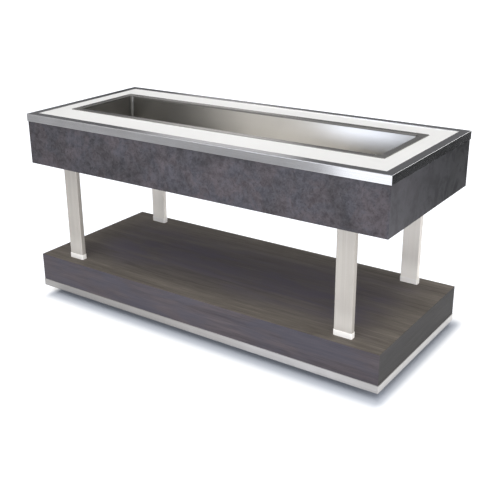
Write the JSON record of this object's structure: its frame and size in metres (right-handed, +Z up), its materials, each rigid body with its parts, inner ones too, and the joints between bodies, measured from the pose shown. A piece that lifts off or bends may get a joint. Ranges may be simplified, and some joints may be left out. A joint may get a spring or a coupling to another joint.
{
  "type": "buffet station",
  "caption": "Buffet station: long counter with a drop-in ice well and drain valve, on flat steel legs above a wood-grain shelf plinth with hidden swivel casters.",
  "frame": {"origin": "on the floor, under the middle of the counter", "axes": "+X along the counter to its right end as seen from the front, the front faces -Y, +Z is up"},
  "size_m": [1.85, 0.76, 0.9025],
  "materials": {
    "trim_steel": "satin",
    "leg_steel": "satin",
    "collar_steel": "polished",
    "rail_steel": "satin",
    "well_steel": "satin",
    "solid_surface": "satin",
    "plywood": "matte",
    "slate_laminate": "matte",
    "plinth_laminate": "matte",
    "shelf_laminate": "satin",
    "sealant": "satin",
    "foam": "matte",
    "galvanised_steel": "satin",
    "zinc_steel": "satin",
    "drain_steel": "satin",
    "brass": "satin",
    "nickel_plate": "satin",
    "ball_chrome": "polished",
    "lever_vinyl": "satin",
    "caster_rubber": "matte"
  },
  "bodies": {
    "station": {"top_trim_front": "trim_steel", "top_trim_back": "trim_steel", "top_trim_left": "trim_steel", "top_trim_right": "trim_steel", "worktop_slab": "solid_surface", "worktop_substrate": "plywood", "apron_front": "slate_laminate", "apron_back": "slate_laminate", "apron_left": "slate_laminate", "apron_right": "slate_laminate", "apron_glue_blocks": "plywood", "well_pan": "well_steel", "well_seal": "sealant", "well_insulation": "foam", "well_housing": "galvanised_steel", "drain_tailpiece": "drain_steel", "drain_locknut": "brass", "drain_elbow": "brass", "drain_valve_body": "nickel_plate", "drain_hose_tail": "brass", "leg_front_left": "leg_steel", "leg_front_right": "leg_steel", "leg_back_left": "leg_steel", "leg_back_right": "leg_steel", "leg_collars": "collar_steel", "leg_bolts": "zinc_steel", "counter_channel_left": "galvanised_steel", "counter_channel_right": "galvanised_steel", "base_rail_front": "rail_steel", "base_rail_back": "rail_steel", "base_rail_left": "rail_steel", "base_rail_right": "rail_steel", "plinth_front": "plinth_laminate", "plinth_back": "plinth_laminate", "plinth_left": "plinth_laminate", "plinth_right": "plinth_laminate", "shelf_board": "shelf_laminate", "shelf_ribs": "plywood", "plinth_channel_left": "galvanised_steel", "plinth_channel_right": "galvanised_steel", "caster_plates": "zinc_steel", "caster_bolts": "zinc_steel"},
    "swivel_front_left": {"caster_fork_front_left": "zinc_steel", "caster_axle_front_left": "zinc_steel"},
    "roller_front_left": {"caster_wheel_front_left": "caster_rubber"},
    "pedal_front_left": {"caster_brake_front_left": "zinc_steel"},
    "swivel_front_right": {"caster_fork_front_right": "zinc_steel", "caster_axle_front_right": "zinc_steel"},
    "roller_front_right": {"caster_wheel_front_right": "caster_rubber"},
    "pedal_front_right": {"caster_brake_front_right": "zinc_steel"},
    "swivel_back_left": {"caster_fork_back_left": "zinc_steel", "caster_axle_back_left": "zinc_steel"},
    "roller_back_left": {"caster_wheel_back_left": "caster_rubber"},
    "swivel_back_right": {"caster_fork_back_right": "zinc_steel", "caster_axle_back_right": "zinc_steel"},
    "roller_back_right": {"caster_wheel_back_right": "caster_rubber"},
    "valve_lever": {"drain_valve_ball": "ball_chrome", "drain_valve_lever": "lever_vinyl", "drain_valve_nut": "zinc_steel"},
    "strainer": {"drain_strainer": "drain_steel"}
  },
  "joints": [
    {"name": "caster_turn_front_left", "type": "hinge", "parent": "station", "child": "swivel_front_left", "pos_m": [-0.728, -0.225, 0.09], "axis": [0, 0, 1], "continuous": true},
    {"name": "wheel_roll_front_left", "type": "hinge", "parent": "swivel_front_left", "child": "roller_front_left", "pos_m": [-0.756, -0.225, 0.0375], "axis": [0, 1, 0], "continuous": true},
    {"name": "brake_press_front_left", "type": "hinge", "parent": "swivel_front_left", "child": "pedal_front_left", "pos_m": [-0.78605, -0.225, 0.07207], "axis": [0, -1, 0], "range_deg": [0, 20]},
    {"name": "caster_turn_front_right", "type": "hinge", "parent": "station", "child": "swivel_front_right", "pos_m": [0.728, -0.225, 0.09], "axis": [0, 0, 1], "continuous": true},
    {"name": "wheel_roll_front_right", "type": "hinge", "parent": "swivel_front_right", "child": "roller_front_right", "pos_m": [0.7, -0.225, 0.0375], "axis": [0, 1, 0], "continuous": true},
    {"name": "brake_press_front_right", "type": "hinge", "parent": "swivel_front_right", "child": "pedal_front_right", "pos_m": [0.66995, -0.225, 0.07207], "axis": [0, -1, 0], "range_deg": [0, 20]},
    {"name": "caster_turn_back_left", "type": "hinge", "parent": "station", "child": "swivel_back_left", "pos_m": [-0.728, 0.225, 0.09], "axis": [0, 0, 1], "continuous": true},
    {"name": "wheel_roll_back_left", "type": "hinge", "parent": "swivel_back_left", "child": "roller_back_left", "pos_m": [-0.756, 0.225, 0.0375], "axis": [0, 1, 0], "continuous": true},
    {"name": "caster_turn_back_right", "type": "hinge", "parent": "station", "child": "swivel_back_right", "pos_m": [0.728, 0.225, 0.09], "axis": [0, 0, 1], "continuous": true},
    {"name": "wheel_roll_back_right", "type": "hinge", "parent": "swivel_back_right", "child": "roller_back_right", "pos_m": [0.7, 0.225, 0.0375], "axis": [0, 1, 0], "continuous": true},
    {"name": "valve_turn", "type": "hinge", "parent": "station", "child": "valve_lever", "pos_m": [0, 0.0623, 0.67], "axis": [0, 0, 1], "range_deg": [0, 90]},
    {"name": "strainer_lift", "type": "slide", "parent": "station", "child": "strainer", "axis": [0, 0, 1], "range_m": [0, 0.2]}
  ]
}
